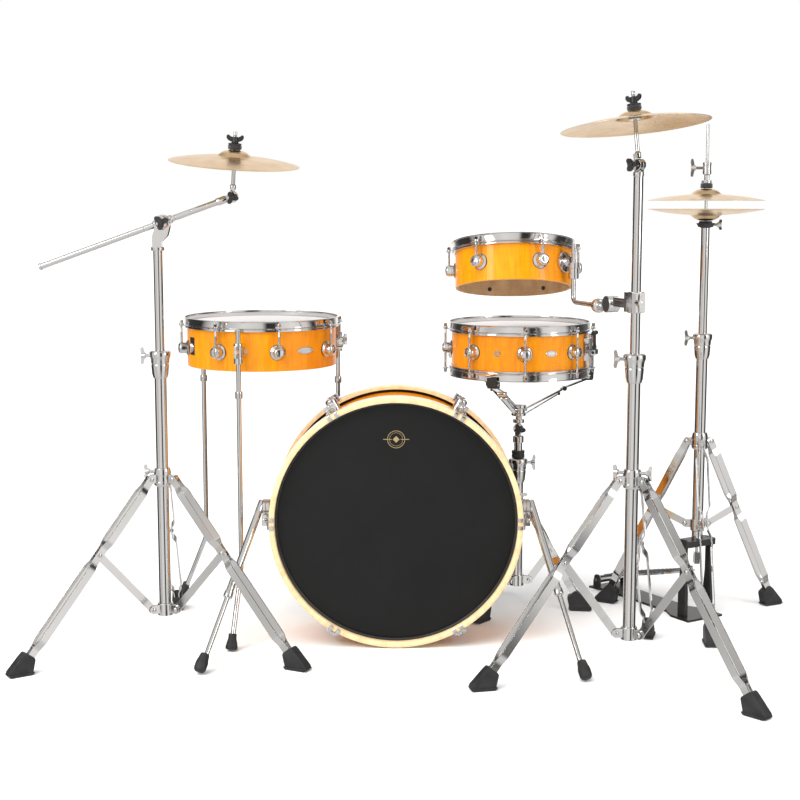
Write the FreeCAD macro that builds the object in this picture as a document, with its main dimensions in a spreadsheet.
import FreeCAD, Part
import math
import os
import Sketcher
from FreeCAD import Placement, Rotation, Vector

# Acoustic drum kit: bass drum, floor tom, rack tom, snare drum, two cymbal stands and a hi-hat.
# Millimetres, Z up, the players' side is +Y. The origin is on the floor under the middle of the kit.

os.makedirs("parts", exist_ok=True)
doc = FreeCAD.newDocument("drum_kit")

# ---------------------------------------------------------------- driving sizes

SIZES = {
    # placing of the whole kit on its origin
    "kit_shift_x": -55.75, "kit_shift_y": -52.3,
    # bass drum
    "bass_x": -8.0, "bass_axis_z": 268.0, "bass_depth": 228.0, "bass_shell_rad": 252.0,
    "bass_hoop_rad": 266.0, "hoop_wall": 10.5, "hoop_deep": 38.0, "hoop_lip": 18.0, "bass_rod_off": 25.0,
    # tom-type drums: outer shell radius, shell length, position of the axis, height of the shell's lower edge
    "floor_tom_rad": 164.0, "floor_tom_len": 94.0, "floor_tom_x": -306.0, "floor_tom_y": 250.0,
    "floor_tom_z": 577.0,
    "rack_tom_rad": 124.0, "rack_tom_len": 84.0, "rack_tom_x": 242.0, "rack_tom_y": 150.0,
    "rack_tom_mid_z": 792.0, "rack_tom_tilt": 12.0,
    "snare_rad": 153.0, "snare_len": 96.0, "snare_x": 270.0, "snare_y": 320.0, "snare_z": 558.0,
    "shell_wall": 6.0, "film": 0.6, "rim_rise": 13.0, "rim_sheet": 2.0, "rod_off": 14.0,
    "rod_rad": 2.9, "turret_rad": 12.5, "turret_tall": 23.0,
    # tubes and clamps shared by the four stands
    "tube_rad": 12.5, "tube_wall": 1.3, "upper_rad": 9.5, "slide_gap": 0.1, "hub_rad": 18.0,
    "pivot_off": 28.0, "strap_wide": 16.0, "strap_thick": 2.5, "brace_thick": 3.0, "pin_rad": 3.0,
    # boom stand
    "boom_x": -492.0, "boom_y": 0.0, "boom_foot": 325.0, "boom_hub_z": 366.0, "boom_low_z": 89.0,
    "boom_clamp_z": 575.0, "boom_top_z": 851.0, "boom_tilter_z": 893.0, "boom_slope": 19.8,
    "boom_reach": 150.5, "boom_tail": 264.0, "boom_roll": 7.5, "boom_cymbal_lean": 4.0,
    "boom_cymbal_rad": 132.5, "boom_cymbal_up": 66.0,
    # straight crash stand
    "crash_x": 450.0, "crash_y": -197.0, "crash_foot": 305.0, "crash_hub_z": 399.0, "crash_low_z": 95.0,
    "crash_clamp_z": 589.0, "crash_top_z": 985.0, "crash_tilter_z": 1003.0, "crash_lean": 7.0,
    "crash_cymbal_rad": 142.5, "crash_cymbal_up": 72.0,
    # hi-hat stand
    "hihat_x": 670.0, "hihat_y": 250.0, "hihat_foot": 228.0, "hihat_hub_z": 401.0, "hihat_low_z": 213.0,
    "hihat_clamp_z": 588.0, "hihat_seat_z": 889.0, "hihat_cymbal_rad": 127.0, "hihat_edge_z": 918.0,
    "hihat_gap": 17.0, "hihat_rod_top_z": 1100.0, "pedal_plate_z": 180.0, "pedal_long": 322.0,
    # snare stand
    "snare_foot": 154.0, "snare_hub_z": 230.0, "snare_low_z": 68.0, "snare_clamp_z": 296.0,
}

PEDAL_BEARING = 122.0
HIHAT_BEARING = 27.0
SNARE_BEARING = 112.0
BOOM_BEARINGS = (214.0, 334.0, 94.0)
CRASH_BEARINGS = (193.0, 313.0, 73.0)
TOM_LEG_BEARINGS = {"front": 260.0, "left": 141.0, "right": 29.0}
TOM_BRACKET_BEARING = -38.0


class Size:
    """A length that carries both its number and its sheet expression."""

    def __init__(self, number, text):
        self.number = number
        self.text = text

    def join(self, other, sign, number):
        return Size(number, "(" + self.text + " " + sign + " " + size(other).text + ")")

    def __add__(self, other):
        return self.join(other, "+", self.number + size(other).number)

    def __sub__(self, other):
        return self.join(other, "-", self.number - size(other).number)

    def __mul__(self, other):
        return self.join(other, "*", self.number * size(other).number)

    def __truediv__(self, other):
        return self.join(other, "/", self.number / size(other).number)

    def __neg__(self):
        return Size(-self.number, "(0 - " + self.text + ")")

    def __radd__(self, other):
        return size(other) + self

    def __rsub__(self, other):
        return size(other) - self

    def __rmul__(self, other):
        return size(other) * self


def size(value):
    return value if isinstance(value, Size) else Size(float(value), repr(float(value)))


class Dims:
    """The sheet's values by name."""


sheet = doc.addObject("Spreadsheet::Sheet", "dims")
dims = Dims()
for row, (alias, number) in enumerate(SIZES.items(), start=1):
    sheet.set("A%d" % row, alias)
    sheet.set("B%d" % row, str(number))
    sheet.setAlias("B%d" % row, alias)
    setattr(dims, alias, Size(number, "dims." + alias))
doc.recompute()


# ---------------------------------------------------------------- building helpers

UP = Vector(0, 0, 1)
nodes = []


def bind(piece, **sizes):
    for name, value in sizes.items():
        if isinstance(value, Size):
            piece.setExpression(name, value.text)
        else:
            setattr(piece, name, value)


def outline(body, role, points):
    """Closed polygon sketch on one of the body's own planes; every corner is dimensioned."""
    sketch = body.newObject("Sketcher::SketchObject", body.Name + "_outline")
    plane = [item for item in body.Origin.OriginFeatures if item.Role == role][0]
    sketch.AttachmentSupport = [(plane, "")]
    sketch.MapMode = "FlatFace"
    corners = [(size(across), size(along)) for across, along in points]
    count = len(corners)
    for index in range(count):
        here = corners[index]
        after = corners[(index + 1) % count]
        start = Vector(here[0].number, here[1].number, 0)
        end = Vector(after[0].number, after[1].number, 0)
        sketch.addGeometry(Part.LineSegment(start, end), False)
    for index in range(count):
        sketch.addConstraint(Sketcher.Constraint("Coincident", index, 2, (index + 1) % count, 1))
    for index, corner in enumerate(corners):
        for kind, value in (("DistanceX", corner[0]), ("DistanceY", corner[1])):
            number = sketch.addConstraint(Sketcher.Constraint(kind, -1, 1, index, 1, value.number))
            if "dims." in value.text:
                sketch.setExpression("Constraints[%d]" % number, value.text)
    return sketch


def turned(name, profile):
    """Body of revolution about Z from (radius, height) corners."""
    body = doc.addObject("PartDesign::Body", name)
    turn = body.newObject("PartDesign::Revolution", name + "_turn")
    turn.Profile = outline(body, "XZ_Plane", profile)
    turn.ReferenceAxis = (turn.Profile[0], ["V_Axis"])
    turn.Angle = 360
    body.Tip = turn
    return body


def plate(name, points, thick, role="XZ_Plane"):
    """Flat piece: the outline padded evenly to both sides of its plane."""
    body = doc.addObject("PartDesign::Body", name)
    pad = body.newObject("PartDesign::Pad", name + "_pad")
    pad.Profile = outline(body, role, points)
    pad.SideType = "Symmetric"
    bind(pad, Length=thick)
    body.Tip = pad
    return body


def bar(name, radius, start, end):
    """Round bar between two points."""
    first = Vector(*start)
    along = Vector(*end) - first
    piece = doc.addObject("Part::Cylinder", name)
    bind(piece, Radius=radius)
    piece.Height = along.Length
    piece.Placement = Placement(first, Rotation(UP, along))
    return piece


def block(name, wide, deep, tall, centre):
    piece = doc.addObject("Part::Box", name)
    bind(piece, Length=wide, Width=deep, Height=tall)
    half = Vector(size(wide).number / 2, size(deep).number / 2, size(tall).number / 2)
    piece.Placement = Placement(Vector(*centre) - half, Rotation())
    return piece


def fused(name, pieces):
    piece = doc.addObject("Part::MultiFuse", name)
    piece.Shapes = pieces
    piece.Refine = True
    return piece


def cut(name, base, tools):
    piece = doc.addObject("Part::Cut", name)
    piece.Base = base
    piece.Tool = tools[0] if len(tools) == 1 else fused(name + "_tools", tools)
    return piece


def copy(piece, placement):
    """A linked copy of a finished piece at another place."""
    link = doc.addObject("App::Link", piece.Name + "_copy")
    link.LinkedObject = piece
    link.Placement = placement
    return link


def node(label, pieces, placement=None):
    """Named sub-part: one solid, or a group of separate solids."""
    piece = doc.addObject("Part::Compound", "node_" + label)
    piece.Links = pieces
    piece.Label = label
    piece.Placement = placement or Placement()
    nodes.append(piece)
    return piece


def spin(degrees):
    return Placement(Vector(0, 0, 0), Rotation(UP, degrees))


def move(x, y, z):
    return Placement(Vector(x, y, z), Rotation())


def turn_about(axis, degrees):
    return Placement(Vector(0, 0, 0), Rotation(Vector(*axis), degrees))


def ring_of(piece, bearings, offset=None):
    """Copies of a piece built at bearing 0, turned to each bearing about Z."""
    shift = offset or Placement()
    return [copy(piece, spin(bearing) * shift) for bearing in bearings]


def at(name):
    """Number behind a size, for placing finished pieces."""
    return getattr(dims, name).number


def unit(x, y, z=0.0):
    return move(x + at("kit_shift_x"), y + at("kit_shift_y"), z)


# ---------------------------------------------------------------- where each unit stands

BASS = unit(at("bass_x"), at("bass_depth"), at("bass_axis_z")) * turn_about((1, 0, 0), 90)
FLOOR_TOM = unit(at("floor_tom_x"), at("floor_tom_y"), at("floor_tom_z"))
RACK_TOM = (unit(at("rack_tom_x"), at("rack_tom_y"), at("rack_tom_mid_z"))
            * turn_about((1, 0, 0), -at("rack_tom_tilt")) * move(0, 0, -at("rack_tom_len") / 2))
SNARE = unit(at("snare_x"), at("snare_y"), at("snare_z"))
BOOM = unit(at("boom_x"), at("boom_y"))
CRASH = unit(at("crash_x"), at("crash_y"))
HIHAT = unit(at("hihat_x"), at("hihat_y"))
SNARE_STAND = unit(at("snare_x"), at("snare_y"))


# ---------------------------------------------------------------- drum pieces, axis Z, lower edge at 0

def shell(name, radius, length, wall, open_end):
    """Wooden shell with a bevelled bearing edge at each headed end."""
    edge = wall * 0.6
    foot = [(radius - wall, 0), (radius, 0)] if open_end else [
        (radius - wall, edge), (radius - 1.5, 0), (radius, 1.5)]
    crown = [(radius, length - 1.5), (radius - 1.5, length), (radius - wall, length - edge)]
    return turned(name, foot + crown)


def head(name, radius, film):
    """Drum head with its flesh hoop; height 0 is the bearing edge."""
    return turned(name, [(0, 0.1), (0, film), (radius + 1.2, film), (radius + 1.2, -5), (radius + 6, -5),
                         (radius + 6, -10), (radius + 0.4, -10), (radius + 0.4, 0.1)])


def rim(name, radius, lug_bearings):
    """Triple-flanged hoop with a drilled ear at every tension rod; height 0 is the bearing edge."""
    rise = dims.rim_rise
    sheet_thick = dims.rim_sheet
    ring = turned(name + "_ring", [
        (radius + 3, -4.8), (radius + 10, -4.8), (radius + 10, -4.8 + sheet_thick), (radius + 5, -2.8),
        (radius + 5, rise - sheet_thick), (radius + 9, rise - sheet_thick), (radius + 9, rise),
        (radius + 3, rise)])
    ear = plate(name + "_ear", [
        (radius + 4, -15), (radius + 11, -12), (radius + 19, -7), (radius + 20.5, -3), (radius + 20.5, 3),
        (radius + 19, 7), (radius + 11, 12), (radius + 4, 15)], sheet_thick, "XY_Plane")
    hole_at = (radius + dims.rod_off).number
    hole = bar(name + "_hole", dims.rod_rad + 0.4, (hole_at, 0, -8), (hole_at, 0, 8))
    drilled_ear = cut(name + "_drilled_ear", ear, [hole])
    return fused(name, [ring] + ring_of(drilled_ear, lug_bearings, move(0, 0, -3.8)))


def turret(name, radius, tall, rod_offset):
    """Round turret lug at bearing 0 and height 0, seated on the shell and bored for its rod."""
    wide = dims.turret_rad
    post = turned(name + "_post", [
        (0, 0), (wide + 4, 0), (wide + 4, 3.5), (wide + 2, 3.5), (wide + 2, 6), (wide, 8),
        (wide, tall - 4), (wide - 2.5, tall), (0, tall + 1)])
    shell_radius = radius.number
    post.Placement = Placement(Vector(shell_radius - 1.5, 0, 0), Rotation(Vector(0, 1, 0), 90))
    seat = bar(name + "_seat", radius + 0.02, (0, 0, -30), (0, 0, 30))
    rod_at = shell_radius + rod_offset.number
    bore = bar(name + "_bore", dims.rod_rad + 0.2, (rod_at, 0, -30), (rod_at, 0, 30))
    return cut(name, post, [seat, bore])


def tension_rod(name, start_z, ear_z, at_radius):
    """Rod from inside the lug to its washer and square head beyond the ear."""
    way = 1 if ear_z > start_z else -1
    rod = bar(name + "_shank", dims.rod_rad, (at_radius, 0, start_z), (at_radius, 0, ear_z + way * 6))
    washer = bar(name + "_washer", 5.2, (at_radius, 0, ear_z + way * 0.2), (at_radius, 0, ear_z + way * 1.8))
    collar = bar(name + "_collar", 4.4, (at_radius, 0, ear_z + way * 1.6), (at_radius, 0, ear_z + way * 4))
    top = block(name + "_square", 5.6, 5.6, 8, (at_radius, 0, ear_z + way * 7))
    return fused(name, [rod, washer, collar, top])


# ---------------------------------------------------------------- bass drum (axis Z, front at bass_depth)

bass_len = dims.bass_depth - 2 * dims.hoop_lip
bass_shell_z = at("hoop_lip")
BASS_ROD_BEARINGS = [60 * step for step in range(6)]

bass_shell = shell("bass_shell", dims.bass_shell_rad, bass_len, 7, False)
vent = bar("bass_vent", 6, (0, at("bass_shell_rad") - 20, at("bass_depth") / 2 - bass_shell_z),
           (0, at("bass_shell_rad") + 10, at("bass_depth") / 2 - bass_shell_z))
node("bass_drum_shell", [cut("bass_shell_vented", bass_shell, [vent])], BASS * move(0, 0, bass_shell_z))

bass_head = head("bass_head", dims.bass_shell_rad, 0.8)
front_head = copy(bass_head, move(0, 0, at("bass_depth") - bass_shell_z))
rear_head = copy(bass_head, move(0, 0, bass_shell_z) * turn_about((1, 0, 0), 180))
node("bass_drum_heads", [front_head, rear_head], BASS)

hoop_out = dims.bass_hoop_rad
hoop_in = hoop_out - dims.hoop_wall
rabbet = dims.bass_shell_rad + 6.8
bass_hoop = turned("bass_hoop", [
    (hoop_in - 1.5, -2), (hoop_in - 1.5, -10), (hoop_in - 1.5, -22.8), (rabbet, -22.8),
    (rabbet, 0 - dims.hoop_deep), (hoop_out - 1.5, 0 - dims.hoop_deep), (hoop_out, -36.5), (hoop_out, -2),
    (hoop_out - 2, 0), (hoop_in + 0.5, 0)])
node("bass_drum_hoops", [copy(bass_hoop, move(0, 0, at("bass_depth"))),
                         copy(bass_hoop, turn_about((1, 0, 0), 180))], BASS)

claw_rod = at("bass_shell_rad") + at("bass_rod_off")
claw_blank = plate("claw_blank", [
    (hoop_out + 0.3, -42), (hoop_out + 17, -42), (hoop_out + 17, -35), (hoop_out + 4.2, -35),
    (hoop_out + 4.2, 3.6), (hoop_out - 11, 3.6), (hoop_out - 11, 0.4), (hoop_out + 0.3, 0.4)], 24)
claw_slot = block("claw_slot", 40, 8, 26, (at("bass_hoop_rad"), 0, -5))
claw_hole = bar("claw_hole", dims.rod_rad + 0.4, (claw_rod, 0, -50), (claw_rod, 0, -30))
claw = cut("claw", claw_blank, [claw_slot, claw_hole])
front_claws = ring_of(claw, BASS_ROD_BEARINGS, move(0, 0, at("bass_depth")))
rear_claws = ring_of(claw, BASS_ROD_BEARINGS, turn_about((1, 0, 0), 180))
node("bass_drum_claws", front_claws + rear_claws, BASS)

# ---------------------------------------------------------------- floor tom

FLOOR_TOM_LUGS = [-73 + 45 * step for step in range(8)]
floor_edge = at("floor_tom_len")
floor_tom_shell = shell("floor_tom_wood", dims.floor_tom_rad, dims.floor_tom_len, dims.shell_wall, True)
node("floor_tom_shell", [floor_tom_shell], FLOOR_TOM)
node("floor_tom_rim", [rim("floor_tom_hoop", dims.floor_tom_rad, FLOOR_TOM_LUGS)],
     FLOOR_TOM * move(0, 0, floor_edge))
node("floor_tom_head", [head("floor_tom_skin", dims.floor_tom_rad, dims.film)],
     FLOOR_TOM * move(0, 0, floor_edge))

LUG_Z = 40.0
ear_top = -2.8
bass_turret = turret("bass_turret", dims.bass_shell_rad, dims.turret_tall + 13, dims.bass_rod_off)
floor_turret = turret("floor_turret", dims.floor_tom_rad, dims.turret_tall, dims.rod_off)
in_floor_tom = FLOOR_TOM * move(0, 0, LUG_Z)
in_bass = BASS * move(0, 0, at("bass_depth") / 2)
node("turret_lugs",
     [copy(bass_turret, in_bass * spin(bearing)) for bearing in BASS_ROD_BEARINGS]
     + [copy(floor_turret, in_floor_tom * spin(bearing)) for bearing in FLOOR_TOM_LUGS])

bass_rod = tension_rod("bass_rod", 4, at("bass_depth") / 2 - 35, claw_rod)
floor_rod = tension_rod("floor_rod", -8, floor_edge - LUG_Z + ear_top, at("floor_tom_rad") + at("rod_off"))
flip = turn_about((1, 0, 0), 180)
node("tension_rods",
     [copy(bass_rod, in_bass * way * spin(bearing))
      for way in (Placement(), flip) for bearing in BASS_ROD_BEARINGS]
     + [copy(floor_rod, in_floor_tom * spin(bearing)) for bearing in FLOOR_TOM_LUGS])

# ---------------------------------------------------------------- leg and spur brackets, floor tom legs

LEG_RADIUS = at("floor_tom_rad") + 24
LEG_ROD = 5.25
bracket_plate = turned("bracket_plate", [(0, 0), (12, 0), (12, 3), (9, 9), (9, 14), (0, 14)])
bracket_plate.Placement = Placement(Vector(at("floor_tom_rad") - 0.5, 0, 0), Rotation(Vector(0, 1, 0), 90))
bracket_sleeve = bar("bracket_sleeve", 10, (LEG_RADIUS, 0, -22), (LEG_RADIUS, 0, 22))
bracket_screw = bar("bracket_screw", 3, (LEG_RADIUS, 0, 4), (LEG_RADIUS + 20, 0, 4))
bracket_wing = block("bracket_wing", 5, 26, 9, (LEG_RADIUS + 21, 0, 4))
bracket_blank = fused("bracket_blank", [bracket_plate, bracket_sleeve, bracket_screw, bracket_wing])
leg_hole = bar("leg_hole", LEG_ROD + 0.1, (LEG_RADIUS, 0, -30), (LEG_RADIUS, 0, 30))
shell_seat = bar("bracket_seat", dims.floor_tom_rad + 0.02, (0, 0, -40), (0, 0, 40))
leg_bracket = cut("leg_bracket", bracket_blank, [leg_hole, shell_seat])
bracket_place = FLOOR_TOM * move(0, 0, 41)

SPUR_AT = at("bass_depth") - 62.0
SPUR_FACE = 275.0
SPUR_RISE = 24.0
spur_foot_plate = block("spur_foot_plate", 12, 44, 40, (252, SPUR_RISE, SPUR_AT))
spur_arm = bar("spur_arm", 13, (246, SPUR_RISE, SPUR_AT), (SPUR_FACE, SPUR_RISE, SPUR_AT))
spur_disc = bar("spur_disc", 17, (SPUR_FACE - 6, SPUR_RISE, SPUR_AT), (SPUR_FACE, SPUR_RISE, SPUR_AT))
spur_seat = bar("spur_seat", dims.bass_shell_rad + 0.02, (0, 0, SPUR_AT - 60), (0, 0, SPUR_AT + 60))
spur_blank = fused("spur_bracket_blank", [spur_foot_plate, spur_arm, spur_disc])
spur_bracket = cut("spur_bracket", spur_blank, [spur_seat])
mirrored_spur = doc.addObject("Part::Mirroring", "spur_bracket_mirrored")
mirrored_spur.Source = spur_bracket
mirrored_spur.Normal = Vector(1, 0, 0)
node("leg_brackets",
     [copy(leg_bracket, bracket_place * spin(bearing)) for bearing in TOM_LEG_BEARINGS.values()]
     + [copy(spur_bracket, BASS), copy(mirrored_spur, BASS)])

LEG_TOP = 668.0
LEG_BEND = 160.0
KICK = 78.0
FOOT_TALL = 34.0


def rubber_foot(name, at_x, tilt, bottom_z=0.0):
    """Rounded conical foot on the lower end of a rod."""
    cone = turned(name, [(0, 0), (8, 0), (12, 2), (13, 6), (10.5, 20), (8.5, FOOT_TALL), (0, FOOT_TALL)])
    cone.Placement = Placement(Vector(at_x, 0, bottom_z), Rotation(Vector(0, 1, 0), tilt))
    return cone


kick_slope = math.degrees(math.atan2(KICK, LEG_BEND - 18))
foot_at = LEG_RADIUS + KICK + 6
straight = bar("leg_straight", LEG_ROD, (LEG_RADIUS, 0, LEG_BEND), (LEG_RADIUS, 0, LEG_TOP))
kicked = bar("leg_kicked", LEG_ROD, (foot_at - 16, 0, 36), (LEG_RADIUS, 0, LEG_BEND))
elbow = doc.addObject("Part::Sphere", "leg_elbow")
bind(elbow, Radius=LEG_ROD)
elbow.Placement = move(LEG_RADIUS, 0, LEG_BEND)
band = bar("leg_band", 7.5, (LEG_RADIUS, 0, 524), (LEG_RADIUS, 0, 538))
leg_rod = fused("leg_rod", [straight, kicked, elbow, band])
leg_foot_blank = rubber_foot("leg_foot_blank", foot_at, -kick_slope * 0.75, 3)
leg_foot = cut("leg_foot", leg_foot_blank, [kicked])
floor_under_tom = unit(at("floor_tom_x"), at("floor_tom_y"))
for side, bearing in TOM_LEG_BEARINGS.items():
    node("floor_tom_leg_" + side, [copy(leg_rod, Placement()), copy(leg_foot, Placement())],
         floor_under_tom * spin(bearing))

# ---------------------------------------------------------------- folding spurs

SPURS = {"right": (1, Vector(366.0, -220.0, 0.0)), "left": (-1, Vector(-400.0, -176.0, 0.0))}


def spur_pivot(sign):
    """Centre of the spur's hinge disc, in the kit's own layout."""
    return Vector(at("bass_x") + sign * (SPUR_FACE + 13), at("bass_depth") - SPUR_AT,
                  at("bass_axis_z") + SPUR_RISE)


for side, (sign, tip) in SPURS.items():
    start = spur_pivot(sign)
    reach = tip - start
    along = Vector(reach).normalize()
    join = start + along * 215
    toe = start + along * (reach.Length - 34)
    outer = bar("spur_tube_" + side, 8, tuple(start - along * 14), tuple(join))
    disc_at = start - Vector(sign * 12.7, 0, 0)
    disc = bar("spur_hinge_" + side, 17, tuple(disc_at), tuple(disc_at + Vector(sign * 8, 0, 0)))
    inner = bar("spur_rod_" + side, 5, tuple(join - along * 10), tuple(toe))
    collar = bar("spur_collar_" + side, 9.5, tuple(join - along * 12), tuple(join + along * 2))
    metal = fused("spur_metal_" + side, [outer, disc, inner, collar])
    foot = turned("spur_foot_" + side, [(0, 0), (10, 0), (12.5, 6), (12.5, 22), (9, 38), (0, 38)])
    foot.Placement = Placement(tip + Vector(0, 0, 8), Rotation(UP, start - tip))
    rubber = cut("spur_rubber_" + side, foot, [inner])
    node(side + "_spur", [metal, rubber], unit(0, 0))

# ---------------------------------------------------------------- stand pieces (pole on Z, floor at 0)

PIVOT = at("pivot_off")


def tube(name, radius, wall, low_z, high_z):
    return turned(name, [(radius - wall, low_z), (radius, low_z), (radius, high_z), (radius - wall, high_z)])


def ear_plate(name, thick):
    """Drilled ear that holds a leg or brace pin at the pivot offset, bearing 0."""
    ear = plate(name + "_flat", [(13.5, -9), (PIVOT, -9), (PIVOT + 6, -6.5), (PIVOT + 8.5, 0),
                                 (PIVOT + 6, 6.5), (PIVOT, 9), (13.5, 9)], thick)
    hole = bar(name + "_hole", dims.pin_rad + 0.1, (PIVOT, -20, 0), (PIVOT, 20, 0))
    return cut(name, ear, [hole])


leg_ear = ear_plate("leg_ear", 8)
clevis_cheek = ear_plate("clevis_cheek", 2.5)


def leg_hub(name, bearings, screw_bearings):
    """Collar that slides on the base tube, one ear per leg, wing screw to lock it."""
    collar = turned(name + "_collar", [
        (dims.tube_rad + dims.slide_gap, -16), (dims.hub_rad - 2, -16), (dims.hub_rad, -13), (dims.hub_rad, 13),
        (dims.hub_rad - 2, 22), (dims.tube_rad + dims.slide_gap, 22)])
    ears = ring_of(leg_ear, bearings)
    screws = []
    for bearing in screw_bearings:
        stem = bar(name + "_stem", 3.5, (15, 0, 14), (34, 0, 14))
        wing = block(name + "_wing", 6, 8, 30, (36, 0, 16))
        screws += ring_of(fused(name + "_screw", [stem, wing]), [bearing])
    return fused(name, [collar] + ears + screws)


def brace_hub(name, bearings):
    """Fixed collar near the foot of the tube with a pair of cheeks per brace."""
    collar = turned(name + "_collar", [
        (dims.tube_rad + 0.05, -14), (dims.hub_rad - 2, -14), (dims.hub_rad - 2, 12),
        (dims.tube_rad + 0.05, 12)])
    cheeks = []
    for offset in (3.25, -3.25):
        cheeks += ring_of(clevis_cheek, bearings, move(0, offset, 0))
    return fused(name, [collar] + cheeks)


def clamp(name, low_z, screw_bearing):
    """Tapered cup that joins base and upper tube, with a wing screw."""
    bore = dims.tube_rad + 0.05
    neck = dims.upper_rad + dims.slide_gap
    cup = turned(name + "_cup", [
        (bore, low_z), (15, low_z), (17, low_z + 8), (19.5, low_z + 40), (21.5, low_z + 46), (21.5, low_z + 54),
        (17, low_z + 57), (neck, low_z + 57), (neck, low_z + 42), (bore, low_z + 42)])
    screw_z = size(low_z).number + 46
    stem = bar(name + "_stem", 4, (18, 0, screw_z), (34, 0, screw_z))
    wing = block(name + "_wing", 7, 9, 34, (37, 0, screw_z + 3))
    screw = ring_of(fused(name + "_screw", [stem, wing]), [screw_bearing])
    return fused(name, [cup] + screw)


def leg_figures(hub_z, low_z, foot_r):
    """Rest geometry of one leg and brace in their upright plane."""
    length = math.hypot(foot_r - PIVOT, hub_z)
    slope = math.atan2(foot_r - PIVOT, hub_z)
    middle = 0.394 * length
    mid_r = PIVOT + middle * math.sin(slope)
    mid_z = hub_z - middle * math.cos(slope)
    brace = math.hypot(mid_r - PIVOT, mid_z - low_z)
    brace_slope = math.atan2(mid_r - PIVOT, mid_z - low_z)
    return {"length": length, "slope": slope, "middle": middle, "brace": brace, "brace_slope": brace_slope}


def leg_pieces(name, hub_z, low_z, foot_r):
    """Two bowed straps, their pins, and the rubber shoe; bearing 0, pole at the origin."""
    figures = leg_figures(hub_z, low_z, foot_r)
    length = figures["length"]
    middle = figures["middle"]
    slope = figures["slope"]
    thin = at("strap_thick") / 2
    stations = [(-4.6, 5.75), (16, 5.75), (38, 12), (middle - 36, 12), (middle - 14, 4.6), (middle + 14, 4.6),
                (middle + 38, 12), (length - 86, 12), (length - 60, 5.2), (length - 14, 5.2)]
    outer = [(along, out + thin) for along, out in stations]
    inner = [(along, out - thin) for along, out in reversed(stations)]
    strap = plate(name + "_strap", outer + inner, dims.strap_wide, "XY_Plane")
    frame = Placement(Vector(PIVOT, 0, hub_z), Rotation(Vector(0, 1, 0), 90 - math.degrees(slope)))
    other = frame * turn_about((1, 0, 0), 180)
    pin_hole = bar(name + "_eye", dims.pin_rad + 0.02, (0, -20, 0), (0, 20, 0))
    drilled = cut(name + "_drilled", strap, [pin_hole])
    shank = bar(name + "_pin", dims.pin_rad, (0, -7.1, 0), (0, 7.1, 0))
    near_head = bar(name + "_pin_near", 5, (0, 7.05, 0), (0, 9.5, 0))
    far_head = bar(name + "_pin_far", 5, (0, -9.5, 0), (0, -7.05, 0))
    hub_pin = fused(name + "_hub_pin", [shank, near_head, far_head])
    seat_y = 4.6 + thin + 0.02
    rivet = fused(name + "_rivet", [
        bar(name + "_rivet_head", 4.5, (middle, seat_y, 0), (middle, seat_y + 1.6, 0)),
        bar(name + "_rivet_dome", 3.2, (middle, seat_y + 1.2, 0), (middle, seat_y + 2.4, 0))])
    shoe_blank = plate(name + "_shoe_blank", [(-27, 0), (15, 0), (19, 6), (16, 12), (-16, 46), (-36, 32),
                                              (-34, 16)], 26)
    slot = block(name + "_slot", 70, at("strap_thick") + 0.2, at("strap_wide") + 0.4, (length - 35, 5.2, 0))
    slots = [copy(slot, way * slot_turn) for way, slot_turn in (
        (move(-foot_r, 0, 0) * frame, Placement()), (move(-foot_r, 0, 0) * frame, turn_about((1, 0, 0), 180)))]
    shoe = cut(name + "_shoe", shoe_blank, slots)
    return [copy(drilled, frame), copy(drilled, other), copy(hub_pin, frame), copy(rivet, frame),
            copy(rivet, other), copy(shoe, move(foot_r, 0, 0))]


def brace_pieces(name, hub_z, low_z, foot_r):
    """Single flat strap with its lower pin; bearing 0."""
    figures = leg_figures(hub_z, low_z, foot_r)
    length = figures["brace"]
    half = 8
    bar_outline = [(-5, -half + 2), (0, -half), (length, -half), (length + 5, -half + 2), (length + 8, 0),
                   (length + 5, half - 2), (length, half), (0, half), (-5, half - 2), (-7.5, 0)]
    strap = plate(name + "_strap", bar_outline, dims.brace_thick)
    eye = bar(name + "_eye", dims.pin_rad + 0.02, (0, -20, 0), (0, 20, 0))
    tip_eye = bar(name + "_tip_eye", dims.pin_rad, (length, -20, 0), (length, 20, 0))
    drilled = cut(name + "_drilled", strap, [eye, tip_eye])
    shank = bar(name + "_pin", dims.pin_rad, (0, -4.9, 0), (0, 4.9, 0))
    near_head = bar(name + "_near", 5, (0, 4.8, 0), (0, 7, 0))
    far_head = bar(name + "_far", 5, (0, -7, 0), (0, -4.8, 0))
    pin = fused(name + "_pinned", [shank, near_head, far_head])
    tilt = math.degrees(figures["brace_slope"]) - 90
    frame = Placement(Vector(PIVOT, 0, low_z), Rotation(Vector(0, 1, 0), tilt))
    return [copy(drilled, frame), copy(pin, frame)]


STANDS = {
    "boom": (BOOM, BOOM_BEARINGS, at("boom_hub_z"), at("boom_low_z"), at("boom_foot")),
    "crash": (CRASH, CRASH_BEARINGS, at("crash_hub_z"), at("crash_low_z"), at("crash_foot")),
}
for stand, (place, bearings, hub_z, low_z, foot_r) in STANDS.items():
    screws = (bearings[0] - 34,) if stand == "boom" else (bearings[0] - 34, bearings[1] + 34)
    node(stand + "_leg_hub", [leg_hub(stand + "_hub", bearings, screws)], place * move(0, 0, hub_z))
    leg = leg_pieces(stand + "_leg", hub_z, low_z, foot_r)
    brace = brace_pieces(stand + "_brace", hub_z, low_z, foot_r)
    for number, bearing in enumerate(bearings, start=1):
        here = place * spin(bearing)
        node("%s_leg_%d" % (stand, number), [copy(piece, piece.Placement) for piece in leg], here)
        node("%s_brace_%d" % (stand, number), [copy(piece, piece.Placement) for piece in brace], here)

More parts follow.
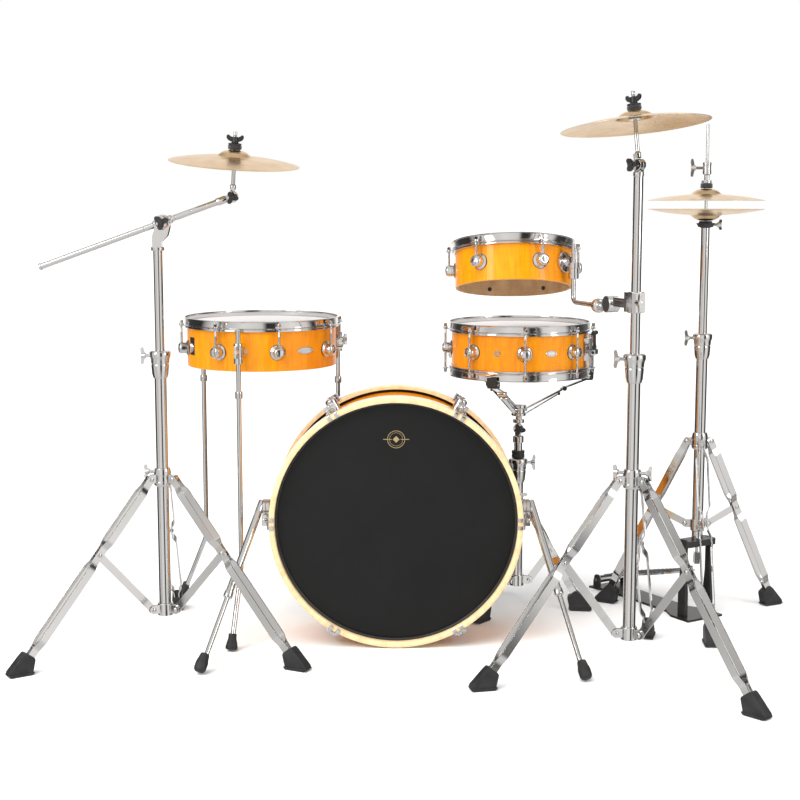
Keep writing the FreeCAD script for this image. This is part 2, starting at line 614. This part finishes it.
FIXED = {
    "hihat": (HIHAT, [HIHAT_BEARING + 120 * step for step in range(3)],
              at("hihat_hub_z"), at("hihat_low_z"), at("hihat_foot")),
    "snare": (SNARE_STAND, [SNARE_BEARING + 120 * step for step in range(3)],
              at("snare_hub_z"), at("snare_low_z"), at("snare_foot")),
}
fixed_legs = []
for stand, (place, bearings, hub_z, low_z, foot_r) in FIXED.items():
    hub = leg_hub(stand + "_hub", bearings, (bearings[0] + 60,))
    fixed_legs.append(copy(hub, place * move(0, 0, hub_z)))
    leg = leg_pieces(stand + "_leg", hub_z, low_z, foot_r)
    brace = brace_pieces(stand + "_brace", hub_z, low_z, foot_r)
    for bearing in bearings:
        fixed_legs += [copy(piece, place * spin(bearing) * piece.Placement) for piece in leg + brace]
node("fixed_tripod_legs", fixed_legs)

CLAMP_BORE_DEPTH = 41.5
tube_ends = {
    "boom": (BOOM, BOOM_BEARINGS, at("boom_low_z"), at("boom_low_z") - 14, at("boom_clamp_z")),
    "crash": (CRASH, CRASH_BEARINGS, at("crash_low_z"), at("crash_low_z") - 14, at("crash_clamp_z")),
    "hihat": (HIHAT, FIXED["hihat"][1], at("hihat_low_z"), at("pedal_plate_z") + 0.2, at("hihat_clamp_z")),
    "snare": (SNARE_STAND, FIXED["snare"][1], at("snare_low_z"), at("snare_low_z") - 14, at("snare_clamp_z")),
}
base_tubes = []
clamps = []
for stand, (place, bearings, low_z, bottom_z, clamp_z) in tube_ends.items():
    base = tube(stand + "_base", dims.tube_rad, dims.tube_wall, bottom_z, clamp_z + CLAMP_BORE_DEPTH)
    base_tubes.append(copy(base, place))
    base_tubes.append(copy(brace_hub(stand + "_brace_hub", bearings), place * move(0, 0, low_z)))
    screw_bearing = 0.0 if stand == "snare" else 180.0
    clamps.append(copy(clamp(stand + "_clamp", clamp_z, screw_bearing), place))
node("stand_base_tubes", base_tubes)
node("height_clamps", clamps)

# ---------------------------------------------------------------- boom stand, upper part

UPPER_WALL = 1.4
boom_head_x = 12.0
BOLT_RAD = 4.0
boom_bracket = plate("boom_bracket", [(-10, -10), (10, -10), (10, 4), (22, 16), (27, 42), (20, 54), (4, 54),
                                      (-3, 42), (-10, 14)], 27)
boom_gap = block("boom_bracket_gap", 80, 18.4, 60, (boom_head_x, 0, 52))
boom_sleeve_hole = bar("boom_bracket_hole", dims.upper_rad + 0.05, (0, 0, -20), (0, 0, 0))
hinge_rise = at("boom_tilter_z") - at("boom_top_z")
boom_pivot_hole = bar("boom_bracket_pivot", BOLT_RAD + 0.05, (boom_head_x, -20, hinge_rise),
                      (boom_head_x, 20, hinge_rise))
boom_upper = tube("boom_upper", dims.upper_rad, UPPER_WALL, 430, dims.boom_top_z)
bracket_cut = cut("boom_bracket_cut", boom_bracket, [boom_gap, boom_sleeve_hole, boom_pivot_hole])
node("boom_upper_tube", [boom_upper, copy(bracket_cut, move(0, 0, at("boom_top_z")))], BOOM)

BOOM_HINGE = BOOM * move(boom_head_x, 0, at("boom_tilter_z"))
ARM_RAD = 6.3
tilter_drum = bar("tilter_drum", 15, (0, -8.8, 0), (0, 8.8, 0))
tilter_bore = bar("tilter_bore", ARM_RAD + 0.1, (-40, 0, 0), (40, 0, 0))
tilter_sleeve = bar("tilter_sleeve", 9, (-20, 0, 0), (20, 0, 0))
tilter_bolt = bar("tilter_bolt", BOLT_RAD, (0, -30, 0), (0, -8, 0))
tilter_cap = bar("tilter_cap", 14, (0, -24, 0), (0, -13.9, 0))
tilter_wing = block("tilter_wing", 34, 7, 9, (0, -30, 0))
boom_tilter = cut("boom_tilter_metal", fused("boom_tilter_blank", [
    tilter_drum, tilter_sleeve, tilter_bolt, tilter_cap, tilter_wing]), [tilter_bore])
ARM_TURN = turn_about((0, 1, 0), -at("boom_slope"))
node("boom_tilter", [boom_tilter], BOOM_HINGE * ARM_TURN)

ARM_FRAME = BOOM_HINGE * ARM_TURN * turn_about((1, 0, 0), at("boom_roll"))
reach = at("boom_reach")
arm_rod = bar("arm_rod", ARM_RAD, (-at("boom_tail"), 0, 0), (reach - 18, 0, 0))
arm_plug = bar("arm_plug", 8, (reach - 34, 0, 0), (reach - 14, 0, 0))
arm_tail = bar("arm_tail", 7.4, (-at("boom_tail") - 6, 0, 0), (-at("boom_tail"), 0, 0))
arm_ear = bar("arm_ear", 11.5, (reach, 0.2, 0), (reach, 9, 0))
arm_neck = block("arm_neck", 14, 8.6, 14, (reach - 14, 4.5, 0))
node("boom_arm", [fused("boom_arm_metal", [arm_rod, arm_plug, arm_tail, arm_ear, arm_neck])], ARM_FRAME)


# ---------------------------------------------------------------- cymbals

def cymbal(name, radius, hole=6.2, thick=1.1):
    """Spun bronze plate with bow and bell; height 0 is the edge."""
    upper = [(radius, thick), (radius * 0.86, radius * 0.030 + thick), (radius * 0.62, radius * 0.068 + thick),
             (radius * 0.40, radius * 0.092 + thick), (radius * 0.27, radius * 0.104 + thick),
             (radius * 0.235, radius * 0.125 + thick), (radius * 0.185, radius * 0.165 + thick),
             (radius * 0.115, radius * 0.192 + thick), (hole, radius * 0.200 + thick)]
    lower = [(across, height - thick) for across, height in reversed(upper)]
    return turned(name, upper + lower)


def bell_height(radius):
    """Height of the underside of the bell's crown above the edge."""
    return radius * 0.2


CYMBAL_ROD_RAD = 3.9
ROD_TIP_RAD = 3.6
ROD_ABOVE_CROWN = 38.0


def cymbal_rest(name, cymbal_up, radius):
    """Threaded cymbal rod and its seat; origin at the tilter hinge."""
    crown = cymbal_up + bell_height(radius)
    knuckle = bar(name + "_knuckle", 11.5, (0, -9, 0), (0, -0.2, 0))
    stem = bar(name + "_stem", 4.2, (0, -4.6, 0), (0, -4.6, 14))
    neck = bar(name + "_neck", 6, (0, 0, 15), (0, 0, 24))
    shoulder = block(name + "_shoulder", 9, 14, 9, (0, -2.5, 16.4))
    rod = bar(name + "_rod", CYMBAL_ROD_RAD, (0, 0, 18), (0, 0, crown + 31.6))
    tip = bar(name + "_tip", ROD_TIP_RAD, (0, 0, crown + 25), (0, 0, crown + ROD_ABOVE_CROWN))
    seat = bar(name + "_seat", 12, (0, 0, crown - 16), (0, 0, crown - 13.2))
    bolt = bar(name + "_bolt", 3.5, (0, -22, 0), (0, -8, 0))
    wing = block(name + "_wing", 8, 6, 26, (0, -24, 0))
    return fused(name, [knuckle, stem, neck, shoulder, rod, tip, seat, bolt, wing])


def felts(name, crown, thick=1.1):
    """Two felts, cup washer and wing nut on the cymbal rod, as separate pieces."""
    bore = 4.0
    low_felt = turned(name + "_low", [(bore, crown - 13), (13, crown - 13), (14, crown - 9), (11, crown - 1.8),
                                      (bore, crown - 1.8)])
    top = crown + thick
    high_felt = turned(name + "_high", [(bore, top + 0.5), (12, top + 0.5), (14, top + 4), (13, top + 10),
                                        (bore, top + 10)])
    cup = turned(name + "_cup", [(bore, top + 10.2), (13.5, top + 10.2), (13.5, top + 12.5), (8, top + 14),
                                 (bore, top + 14)])
    barrel = turned(name + "_barrel", [(bore, top + 14.3), (7, top + 14.3), (6, top + 26), (bore, top + 26)])
    wing = plate(name + "_wing", [(5, 17), (15, 20), (17, 27), (13, 30), (5, 25)], 5)
    wings = [copy(wing, move(0, 0, top) * spin(turn)) for turn in (0, 180)]
    return [low_felt, high_felt, cup, fused(name + "_nut", [barrel] + wings)]


TILTER_FRAME = ARM_FRAME * move(reach, 0, 0) * turn_about((0, 1, 0), at("boom_slope") + at("boom_cymbal_lean"))
boom_rest = cymbal_rest("boom_rest", at("boom_cymbal_up"), at("boom_cymbal_rad"))
node("boom_cymbal_tilter", [boom_rest], TILTER_FRAME)
node("boom_cymbal", [cymbal("boom_plate", dims.boom_cymbal_rad)],
     TILTER_FRAME * move(0, 0, at("boom_cymbal_up")))
boom_crown = at("boom_cymbal_up") + bell_height(at("boom_cymbal_rad"))
node("boom_cymbal_felts", felts("boom_felts", boom_crown), TILTER_FRAME)

# ---------------------------------------------------------------- crash stand, upper part

CRASH_TOP = CRASH * move(0, 0, at("crash_tilter_z")) * spin(-45)
crash_upper = tube("crash_upper", dims.upper_rad, UPPER_WALL, 470, dims.crash_top_z)
crash_ear = bar("crash_ear", 11.5, (0, 0.2, 0), (0, 9, 0))
crash_plug = bar("crash_plug", dims.upper_rad, (0, 0, -17.5), (0, 0, -13))
crash_web = block("crash_web", 13, 7, 12, (0, 4.6, -10))
crash_fork = fused("crash_fork", [crash_ear, crash_plug, crash_web])
node("crash_upper_tube", [crash_upper, copy(crash_fork, CRASH.inverse() * CRASH_TOP)], CRASH)

CRASH_FRAME = CRASH_TOP * turn_about((0, 1, 0), -at("crash_lean"))
crash_rest = cymbal_rest("crash_rest", at("crash_cymbal_up"), at("crash_cymbal_rad"))
node("crash_cymbal_tilter", [crash_rest], CRASH_FRAME)
node("crash_cymbal", [cymbal("crash_plate", dims.crash_cymbal_rad)],
     CRASH_FRAME * move(0, 0, at("crash_cymbal_up")))
crash_crown = at("crash_cymbal_up") + bell_height(at("crash_cymbal_rad"))
node("crash_cymbal_felts", felts("crash_felts", crash_crown), CRASH_FRAME)

# ---------------------------------------------------------------- tom clamp and L-rod

LROD_RAD = 5.2
LROD = Vector(360.0, 58.0, 727.0)
CLAMP_Z = 744.0
to_rod = LROD - Vector(at("crash_x"), at("crash_y"), LROD.z)
arm_bearing = math.degrees(math.atan2(to_rod.y, to_rod.x))
arm_span = to_rod.Length
TOM_CLAMP = CRASH * move(0, 0, CLAMP_Z) * spin(arm_bearing)
clamp_block = block("tom_clamp_block", 40, 34, 38, (2, 0, 0))
clamp_arm = block("tom_clamp_arm", 80, 20, 20, (55, 0, -4))
clamp_knuckle = bar("tom_clamp_knuckle", 17, (100, -12, -10), (100, 12, -10))
clamp_cone = bar("tom_clamp_cone", 11, (104, 0, LROD.z - CLAMP_Z), (165, 0, LROD.z - CLAMP_Z))
clamp_lock = bar("tom_clamp_lock", 14, (148, 0, LROD.z - CLAMP_Z), (162, 0, LROD.z - CLAMP_Z))
lrod_flat = bar("lrod_flat", LROD_RAD, (120, 0, LROD.z - CLAMP_Z), (arm_span, 0, LROD.z - CLAMP_Z))
lrod_ball = doc.addObject("Part::Sphere", "lrod_ball")
bind(lrod_ball, Radius=LROD_RAD)
lrod_ball.Placement = move(arm_span, 0, LROD.z - CLAMP_Z)
lrod_up = bar("lrod_up", LROD_RAD, (arm_span, 0, LROD.z - CLAMP_Z), (arm_span, 0, 848 - CLAMP_Z))
clamp_stem = bar("tom_clamp_stem", 4, (-32, 8, 0), (-10, 8, 0))
clamp_wing = block("tom_clamp_wing", 7, 9, 34, (-34, 8, 0))
clamp_bore = bar("tom_clamp_bore", dims.upper_rad + dims.slide_gap, (0, 0, -40), (0, 0, 40))
node("tom_mount", [cut("tom_mount_metal", fused("tom_mount_blank", [
    clamp_block, clamp_arm, clamp_knuckle, clamp_cone, clamp_lock, lrod_flat, lrod_ball, lrod_up,
    clamp_stem, clamp_wing]), [clamp_bore])], TOM_CLAMP)

# ---------------------------------------------------------------- rack tom

RACK_TOM_LUGS = [-68 + 60 * step for step in range(6)]
rack_edge = at("rack_tom_len")
node("rack_tom_shell", [shell("rack_tom_wood", dims.rack_tom_rad, dims.rack_tom_len, dims.shell_wall, True)],
     RACK_TOM)
node("rack_tom_rim", [rim("rack_tom_hoop", dims.rack_tom_rad, RACK_TOM_LUGS)], RACK_TOM * move(0, 0, rack_edge))
node("rack_tom_head", [head("rack_tom_skin", dims.rack_tom_rad, dims.film)], RACK_TOM * move(0, 0, rack_edge))

rack_turret = turret("rack_turret", dims.rack_tom_rad, dims.turret_tall, dims.rod_off)
rack_rod = tension_rod("rack_rod", -8, rack_edge - LUG_Z + ear_top, at("rack_tom_rad") + at("rod_off"))
rack_pieces = [copy(piece, move(0, 0, LUG_Z) * spin(bearing))
               for piece in (rack_turret, rack_rod) for bearing in RACK_TOM_LUGS]
rod_place = RACK_TOM.inverse() * unit(LROD.x, LROD.y, at("rack_tom_mid_z"))
rod_grip = bar("rack_grip", 11, (0, 0, -17), (0, 0, 17))
grip_hole = bar("rack_grip_hole", LROD_RAD + 0.1, (0, 0, -60), (0, 0, 60))
rack_wall = at("rack_tom_rad")
mount_z = LUG_Z + 3
mount_disc = bar("rack_mount_disc", 22, (rack_wall - 4, 0, mount_z), (rack_wall + 7, 0, mount_z))
mount_neck = bar("rack_mount_neck", 9, (rack_wall, 0, mount_z), (rack_wall + 20, 0, mount_z))
mount_seat = bar("rack_mount_seat", dims.rack_tom_rad + 0.02, (0, 0, -20), (0, 0, 120))
mount = fused("rack_mount_blank", [copy(mount_disc, spin(TOM_BRACKET_BEARING)),
                                   copy(mount_neck, spin(TOM_BRACKET_BEARING)), copy(rod_grip, rod_place)])
rack_pieces.append(cut("rack_mount", mount, [mount_seat, copy(grip_hole, rod_place)]))
node("rack_tom_lugs", rack_pieces, RACK_TOM)

# ---------------------------------------------------------------- snare drum, its wires and strainer

SNARE_LUGS = [-90 + 45 * step for step in range(8)]
STRAINER = -22.5
snare_edge = at("snare_len")
snare_mid = snare_edge / 2
top_of_snare = move(0, 0, snare_edge)
node("snare_shell", [shell("snare_wood", dims.snare_rad, dims.snare_len, dims.shell_wall, False)], SNARE)
snare_rim = rim("snare_hoop", dims.snare_rad, SNARE_LUGS)
node("snare_rims", [copy(snare_rim, top_of_snare), copy(snare_rim, turn_about((1, 0, 0), 180))], SNARE)
snare_head = head("snare_skin", dims.snare_rad, dims.film)
node("snare_heads", [copy(snare_head, top_of_snare), copy(snare_head, turn_about((1, 0, 0), 180))], SNARE)

snare_turret = turret("snare_turret", dims.snare_rad, dims.turret_tall, dims.rod_off)
snare_rod = tension_rod("snare_rod", 3, snare_mid + ear_top, at("snare_rad") + at("rod_off"))
middle = move(0, 0, snare_mid)
snare_pieces = [copy(snare_turret, middle * spin(bearing)) for bearing in SNARE_LUGS]
snare_pieces += [copy(snare_rod, middle * way * spin(bearing))
                 for way in (Placement(), flip) for bearing in SNARE_LUGS]
strainer_box = block("strainer_box", 16, 26, 52, (at("snare_rad") + 6, 0, snare_mid + 2))
strainer_rail = block("strainer_rail", 8, 18, 26, (at("snare_rad") + 12, 0, snare_mid - 26))
strainer_seat = bar("strainer_seat", dims.snare_rad + 0.02, (0, 0, -20), (0, 0, 140))
strainer_knob = bar("strainer_knob", 8, (at("snare_rad") + 8, 0, snare_mid + 28.1),
                    (at("snare_rad") + 8, 0, snare_mid + 37.4))
LEVER_X = at("snare_rad") + 22
LEVER_Z = snare_mid - 4
cheeks = [block("strainer_cheek_%d" % side, 16, 3, 12, (LEVER_X - 3, side * 11.5, LEVER_Z))
          for side in (-1, 1)]
cheek_hole = bar("cheek_hole", 2.08, (LEVER_X, -20, LEVER_Z), (LEVER_X, 20, LEVER_Z))
strainer = cut("strainer", fused("strainer_blank", [strainer_box, strainer_rail, strainer_knob] + cheeks),
               [strainer_seat, cheek_hole])
butt = cut("butt", block("butt_box", 14, 30, 30, (at("snare_rad") + 5, 0, snare_mid - 14)),
           [copy(strainer_seat, Placement())])
snare_pieces += [copy(strainer, spin(STRAINER)), copy(butt, spin(STRAINER + 180))]
WIRE_Z = -2.4
wires = []
for step in range(20):
    offset = (step - 9.5) * 2.6
    wires.append(bar("wire_%d" % step, 0.7, (-112, offset, WIRE_Z), (112, offset, WIRE_Z)))
end_plate = block("wire_plate", 16, 56, 1.6, (118, 0, WIRE_Z))
wire_set = fused("snare_wires", wires + [copy(end_plate, Placement()), copy(end_plate, spin(180))])
snare_pieces.append(copy(wire_set, spin(STRAINER)))
node("snare_hardware", snare_pieces, SNARE)

lever_arm = block("lever_arm", 5, 10, 44, (0, 0, 20))
lever_boss = bar("lever_boss", 5.5, (0, -9, 0), (0, 9, 0))
lever_pin = bar("lever_pin", 2, (0, -14, 0), (0, 14, 0))
lever_grip = bar("lever_grip", 5, (0, -13, 43), (0, 13, 43))
LEVER_PLACE = SNARE * spin(STRAINER) * move(LEVER_X, 0, LEVER_Z)
node("strainer_lever", [fused("lever", [lever_arm, lever_boss, lever_pin, lever_grip])], LEVER_PLACE)

# ---------------------------------------------------------------- snare stand, upper part

BASKET_Z = 420.0
snare_upper = tube("snare_upper", dims.upper_rad, UPPER_WALL, 205, 396)
bushing = turned("snare_bushing", [(9.6, 354), (15, 354), (15, 370), (9.6, 370)])
basket_fork_web = bar("basket_fork_web", dims.upper_rad + 3, (0, 0, 390), (0, 0, 404))
basket_ear = bar("basket_ear", 12, (0, 0.2, BASKET_Z), (0, 9, BASKET_Z))
basket_web = block("basket_web", 14, 8.8, 18, (0, 4.6, BASKET_Z - 11))
snare_post = fused("snare_post", [snare_upper, basket_fork_web, basket_ear, basket_web])
node("snare_upper_tube", [snare_post, bushing], SNARE_STAND)

BASKET_BEARINGS = (245, 5, 125)
RIM_UNDER = at("snare_z") - at("rim_rise") - 0.4
GRIP_R = at("snare_rad") + 4
basket_knuckle = bar("basket_knuckle", 12, (0, -9, BASKET_Z), (0, -0.2, BASKET_Z))
basket_neck = bar("basket_neck", 4.2, (0, -4.6, BASKET_Z), (0, -4.6, BASKET_Z + 20))
basket_post = bar("basket_post", 7, (0, -4.6, BASKET_Z + 14), (0, -4.6, BASKET_Z + 52))
basket_hub = bar("basket_hub", 17, (0, -2, BASKET_Z + 30), (0, -2, BASKET_Z + 56))
basket_bolt = bar("basket_bolt", 4, (0, -26, BASKET_Z), (0, -8, BASKET_Z))
basket_wing = block("basket_wing", 30, 6, 9, (0, -27, BASKET_Z))
basket_metal = [basket_knuckle, basket_neck, basket_post, basket_hub, basket_bolt, basket_wing]
arm_low = bar("basket_arm_low", 5, (8, 0, BASKET_Z + 44), (104, 0, BASKET_Z + 92))
arm_high = bar("basket_arm_high", 5, (104, 0, BASKET_Z + 92), (GRIP_R, 0, RIM_UNDER - 12))
arm_strut = bar("basket_strut", 3.5, (10, 0, BASKET_Z + 34), (92, 0, BASKET_Z + 80))
arm_joint = bar("basket_joint", 7, (104, -8, BASKET_Z + 92), (104, 8, BASKET_Z + 92))
basket_metal += ring_of(fused("basket_arm", [arm_low, arm_high, arm_strut, arm_joint]), BASKET_BEARINGS)
grip = plate("basket_grip", [(GRIP_R - 12, RIM_UNDER - 14), (GRIP_R + 12, RIM_UNDER - 14),
                             (GRIP_R + 13, RIM_UNDER + 10), (GRIP_R + 7.5, RIM_UNDER + 10),
                             (GRIP_R + 7.5, RIM_UNDER), (GRIP_R - 12, RIM_UNDER)], 22)
grip_bite = cut("basket_grip_bored", grip, [arm_high])
node("snare_basket", [fused("basket_frame", basket_metal)] + ring_of(grip_bite, BASKET_BEARINGS), SNARE_STAND)

# ---------------------------------------------------------------- hi-hat, upper part and pedal

hihat_upper = tube("hihat_upper", dims.upper_rad, UPPER_WALL, 480, dims.hihat_seat_z - 12)
seat_cup = turned("seat_cup", [(3.8, dims.hihat_seat_z - 12), (16, dims.hihat_seat_z - 12),
                               (20, dims.hihat_seat_z - 4), (20, dims.hihat_seat_z - 2),
                               (3.8, dims.hihat_seat_z - 2)])
seat_felt = turned("seat_felt", [(3.8, dims.hihat_seat_z - 1.8), (15, dims.hihat_seat_z - 1.8),
                                 (13, dims.hihat_seat_z + 2.2), (3.8, dims.hihat_seat_z + 2.2)])
seat_stem = bar("seat_stem", 3, (17, 0, at("hihat_seat_z") - 5), (34, 0, at("hihat_seat_z") - 5))
seat_wing = block("seat_wing", 6, 8, 22, (35, 0, at("hihat_seat_z") - 5))
seat_metal = fused("seat_metal", [seat_cup, seat_stem, seat_wing])
node("hihat_upper_tube", [hihat_upper, seat_metal, seat_felt], HIHAT)

hat = cymbal("hat_plate", dims.hihat_cymbal_rad)
hat_low = copy(hat, turn_about((1, 0, 0), 180))
node("hihat_bottom_cymbal", [hat_low], HIHAT * move(0, 0, at("hihat_edge_z")))
top_edge = at("hihat_edge_z") + at("hihat_gap")
node("hihat_top_cymbal", [copy(hat, Placement())], HIHAT * move(0, 0, top_edge))

hat_crown = top_edge + bell_height(at("hihat_cymbal_rad"))
ROD_RAD = 3.2
pull_rod = bar("pull_rod", ROD_RAD, (0, 0, 140), (0, 0, at("hihat_rod_top_z")))
clutch_tube = turned("clutch_tube", [(3.1, hat_crown - 12), (5.6, hat_crown - 12), (5.6, hat_crown + 30),
                                     (9.5, hat_crown + 32), (9.5, hat_crown + 58), (3.1, hat_crown + 58)])


def clutch_ring(name, low_z, high_z):
    return turned(name, [(5.4, low_z), (11, low_z), (11, high_z), (5.4, high_z)])


clutch_nut = clutch_ring("clutch_nut", hat_crown - 12, hat_crown - 8)
clutch_lock = clutch_ring("clutch_lock", hat_crown + 13, hat_crown + 19)
clutch_stem = bar("clutch_stem", 4, (-30, 0, hat_crown + 46), (0, 0, hat_crown + 46))
clutch_wing = block("clutch_wing", 7, 9, 40, (-31, 0, hat_crown + 52))
link_fork = block("link_fork", 12, 16, 26, (0, 0, 136))
hat_rod = fused("hat_rod", [pull_rod, clutch_tube, clutch_nut, clutch_lock, clutch_stem, clutch_wing,
                            link_fork])
felt_low = turned("clutch_felt_low", [(5.7, hat_crown - 7.9), (13, hat_crown - 7.9), (12, hat_crown - 1.2),
                                      (5.7, hat_crown - 1.2)])
felt_high = turned("clutch_felt_high", [(5.7, hat_crown + 1.8), (13, hat_crown + 1.8), (13, hat_crown + 12.8),
                                        (5.7, hat_crown + 12.8)])
node("hihat_rod", [hat_rod, felt_low, felt_high], HIHAT)

PEDAL = HIHAT * spin(PEDAL_BEARING)
HEEL_R = at("pedal_long") - 26
HEEL_Z = 26.0
PEDAL_SLOPE = 14.0
base_plate = plate("pedal_base", [(-34, -52), (24, -52), (60, -34), (at("pedal_long") - 40, -34),
                                  (at("pedal_long"), -46), (at("pedal_long"), 46), (at("pedal_long") - 40, 34),
                                  (60, 34), (24, 52), (-34, 52)], 5, "XY_Plane")
base_plate.Placement = move(0, 0, 2.5)
uprights = [block("upright_%d" % side, 24, 9, 176, (0, side * 38, 4 + 88)) for side in (-1, 1)]
bridge = block("pedal_bridge", 40, 86, 14, (0, 0, at("pedal_plate_z") - 7))
bridge_hole = bar("bridge_hole", ROD_RAD + 0.4, (0, 0, 150), (0, 0, 190))
heel_lugs = [block("heel_lug_%d" % side, 22, 6, 34, (HEEL_R, side * 42, 4 + 17)) for side in (-1, 1)]
heel_hole = bar("heel_hole", 4.1, (HEEL_R, -60, HEEL_Z), (HEEL_R, 60, HEEL_Z))
pedal_frame = cut("pedal_frame", fused("pedal_frame_blank", [base_plate] + uprights + [bridge] + heel_lugs),
                  [bridge_hole, heel_hole])
node("hihat_pedal_frame", [pedal_frame], PEDAL)

board_long = HEEL_R - 12
footboard = plate("footboard_blank", [(0, -36), (60, -36), (board_long - 70, -42), (board_long - 20, -26),
                                      (board_long, -12), (board_long, 12), (board_long - 20, 26),
                                      (board_long - 70, 42), (60, 36), (0, 36)], 6, "XY_Plane")
BOARD_FRAME = (move(HEEL_R, 0, HEEL_Z) * turn_about((0, 1, 0), PEDAL_SLOPE) * spin(180))
footboard.Placement = move(6, 0, 7)
heel_tube = bar("heel_tube", 9, (0, -38.5, 0), (0, 38.5, 0))
heel_pin = bar("heel_pin", 4, (0, -48, 0), (0, 48, 0))
toe_ring = bar("toe_ring", 5, (board_long + 2, -7, 13), (board_long + 2, 7, 13))
toe_stub = block("toe_stub", 12, 14, 8, (board_long - 2, 0, 10))
node("hihat_footboard", [fused("footboard_metal", [footboard, heel_tube, heel_pin, toe_ring, toe_stub])],
     PEDAL * BOARD_FRAME)

# ---------------------------------------------------------------- check and write

doc.recompute()
for item in doc.Objects:
    if any(word in state for state in item.State for word in ("Invalid", "Error")):
        raise RuntimeError("%s is %s" % (item.Name, item.State))
for piece in nodes:
    shape = piece.Shape
    if shape.isNull() or not shape.isValid() or not shape.Solids:
        raise RuntimeError("%s has no valid solid" % piece.Label)
    shape.exportStep("parts/%s.step" % piece.Label)
whole = Part.makeCompound([piece.Shape for piece in nodes]).BoundBox
print("nodes", len(nodes), "X %.1f %.1f Y %.1f %.1f Z %.1f %.1f" % (
    whole.XMin, whole.XMax, whole.YMin, whole.YMax, whole.ZMin, whole.ZMax))
